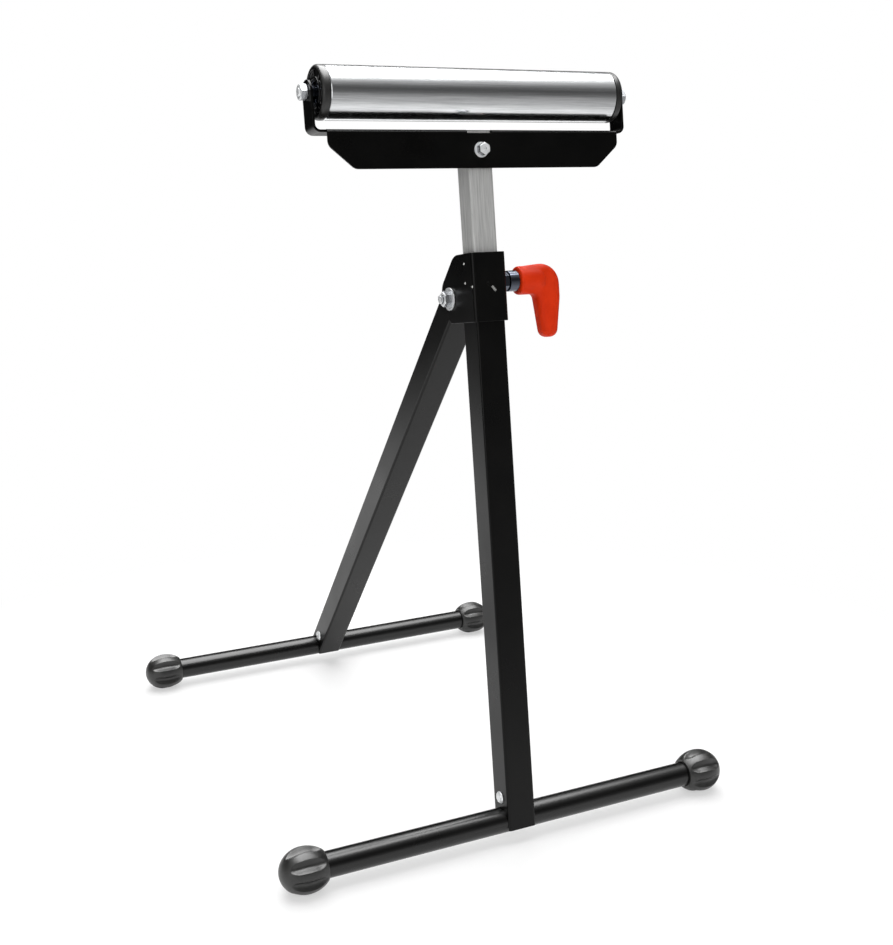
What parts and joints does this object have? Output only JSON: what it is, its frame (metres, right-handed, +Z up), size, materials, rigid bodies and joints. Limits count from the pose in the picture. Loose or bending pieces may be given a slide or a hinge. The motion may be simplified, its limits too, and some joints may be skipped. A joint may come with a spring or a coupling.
{
  "type": "roller stand",
  "caption": "Folding workshop stand: a free-turning steel roller on a clamped height post that leans back, with a hinged rear leg and ball-capped foot tubes.",
  "frame": {"origin": "on the floor, midway between the front and rear foot tubes", "axes": "+Z up, +X along the roller to the clamp's side, +Y from the front leg to the rear leg"},
  "size_m": [0.492, 0.5784, 0.7391],
  "materials": {
    "black_coat": "black powder coat, half gloss",
    "bright_steel": "polished steel with fine lengthwise drawing marks",
    "galvanised": "galvanised, streaky and dull",
    "zinc": "bright zinc plate",
    "black_plastic": "moulded, satin",
    "red_plastic": "moulded, half gloss"
  },
  "bodies": {
    "frame": {"front_leg": "black_coat", "front_foot_tube": "black_coat", "front_foot_cap_left": "black_plastic", "front_foot_cap_right": "black_plastic", "front_leg_rivet": "zinc", "hinge_bracket": "black_coat", "pivot_bolt": "zinc", "pivot_nut": "zinc", "pivot_washer_left": "zinc", "pivot_washer_right": "zinc", "clamp_nut": "zinc"},
    "rear_leg": {"rear_leg": "black_coat", "rear_foot_tube": "black_coat", "rear_foot_cap_left": "black_plastic", "rear_foot_cap_right": "black_plastic", "rear_leg_rivet": "zinc", "pivot_sleeve": "zinc"},
    "head": {"inner_post": "galvanised", "head_plate": "black_coat", "roller_bracket": "black_coat", "head_bolt": "zinc", "head_nut": "zinc", "head_washer_front": "zinc", "head_washer_rear": "zinc", "roller_axle": "zinc", "axle_nut_left": "zinc", "axle_nut_right": "zinc", "axle_spacer_left": "zinc", "axle_spacer_right": "zinc", "bearing_inner_left": "zinc", "bearing_inner_right": "zinc"},
    "roller": {"roller_tube": "bright_steel", "roller_end_cap_left": "black_plastic", "roller_end_cap_right": "black_plastic", "bearing_outer_left": "zinc", "bearing_outer_right": "zinc", "bearing_balls_left": "zinc", "bearing_balls_right": "zinc"},
    "clamp_screw": {"clamp_screw": "zinc"},
    "clamp_handle": {"clamp_handle": "red_plastic"}
  },
  "joints": [
    {"name": "rear_leg_fold", "type": "hinge", "parent": "frame", "child": "rear_leg", "pos_m": [0, -0.16601, 0.52624], "axis": [1, 0, 0], "range_deg": [-47.6, 0]},
    {"name": "height_slide", "type": "slide", "parent": "frame", "child": "head", "axis": [0, 0.1305, 0.9914], "range_m": [-0.05, 0.34]},
    {"name": "roller_spin", "type": "hinge", "parent": "head", "child": "roller", "pos_m": [0, -0.17544, 0.71509], "axis": [1, 0, 0], "continuous": true},
    {"name": "clamp_advance", "type": "slide", "parent": "frame", "child": "clamp_screw", "axis": [1, 0, 0], "range_m": [0, 0.0015]},
    {"name": "clamp_turn", "type": "hinge", "parent": "clamp_screw", "child": "clamp_handle", "pos_m": [0.0367, -0.19802, 0.54357], "axis": [1, 0, 0], "range_deg": [0, 361]}
  ],
  "couplings": [
    {"joint": "clamp_turn", "follows": "clamp_advance", "rad_per_m": 4188.8}
  ]
}
